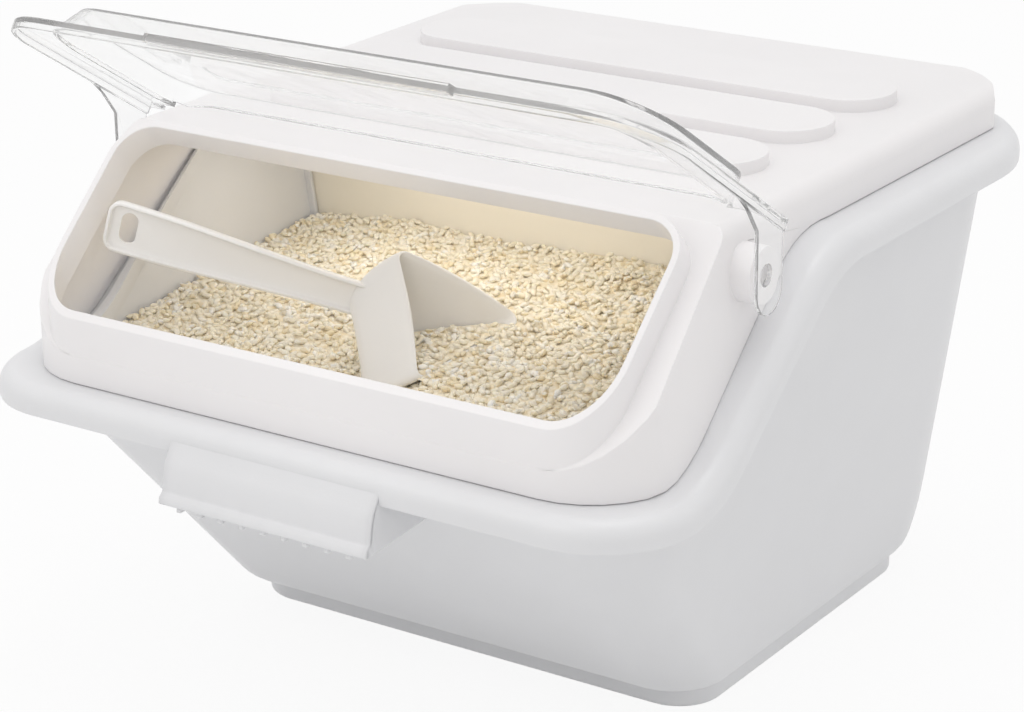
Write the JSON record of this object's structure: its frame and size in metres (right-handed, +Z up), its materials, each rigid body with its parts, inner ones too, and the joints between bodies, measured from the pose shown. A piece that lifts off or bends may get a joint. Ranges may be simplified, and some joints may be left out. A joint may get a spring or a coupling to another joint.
{
  "type": "rice bin with flip lid",
  "caption": "Wedge-fronted storage bin for rice: lift-off hood, clear two-tier lid on side studs, divider panel, long-handled scoop and a bed of rice.",
  "frame": {"origin": "middle of the foot's underside", "axes": "+Z up, +X to the right as seen from the front, -Y towards the front, where the mouth and the grip are"},
  "size_m": [0.39, 0.443, 0.337],
  "materials": {
    "bin": "satin",
    "hood": "satin",
    "clear": "clear, glossy",
    "scoop": "satin",
    "rice": "matte grains"
  },
  "bodies": {
    "bin": {"bin_body": "bin", "divider_panel": "bin", "rice_fill": "rice"},
    "hood": {"hood": "hood"},
    "lid": {"flip_lid": "clear"},
    "scoop": {"scoop": "scoop", "rice_in_scoop": "rice"}
  },
  "joints": [
    {"name": "hood_lift", "type": "slide", "parent": "bin", "child": "hood", "axis": [0, 0, 1], "range_m": [0, 0.16]},
    {"name": "lid_hinge", "type": "hinge", "parent": "hood", "child": "lid", "pos_m": [0, -0.133, 0.2405], "axis": [1, 0, 0], "range_deg": [0, 76]},
    {"name": "scoop_pull", "type": "slide", "parent": "bin", "child": "scoop", "axis": [0, -0.8291, 0.5591], "range_m": [0, 0.35]}
  ]
}
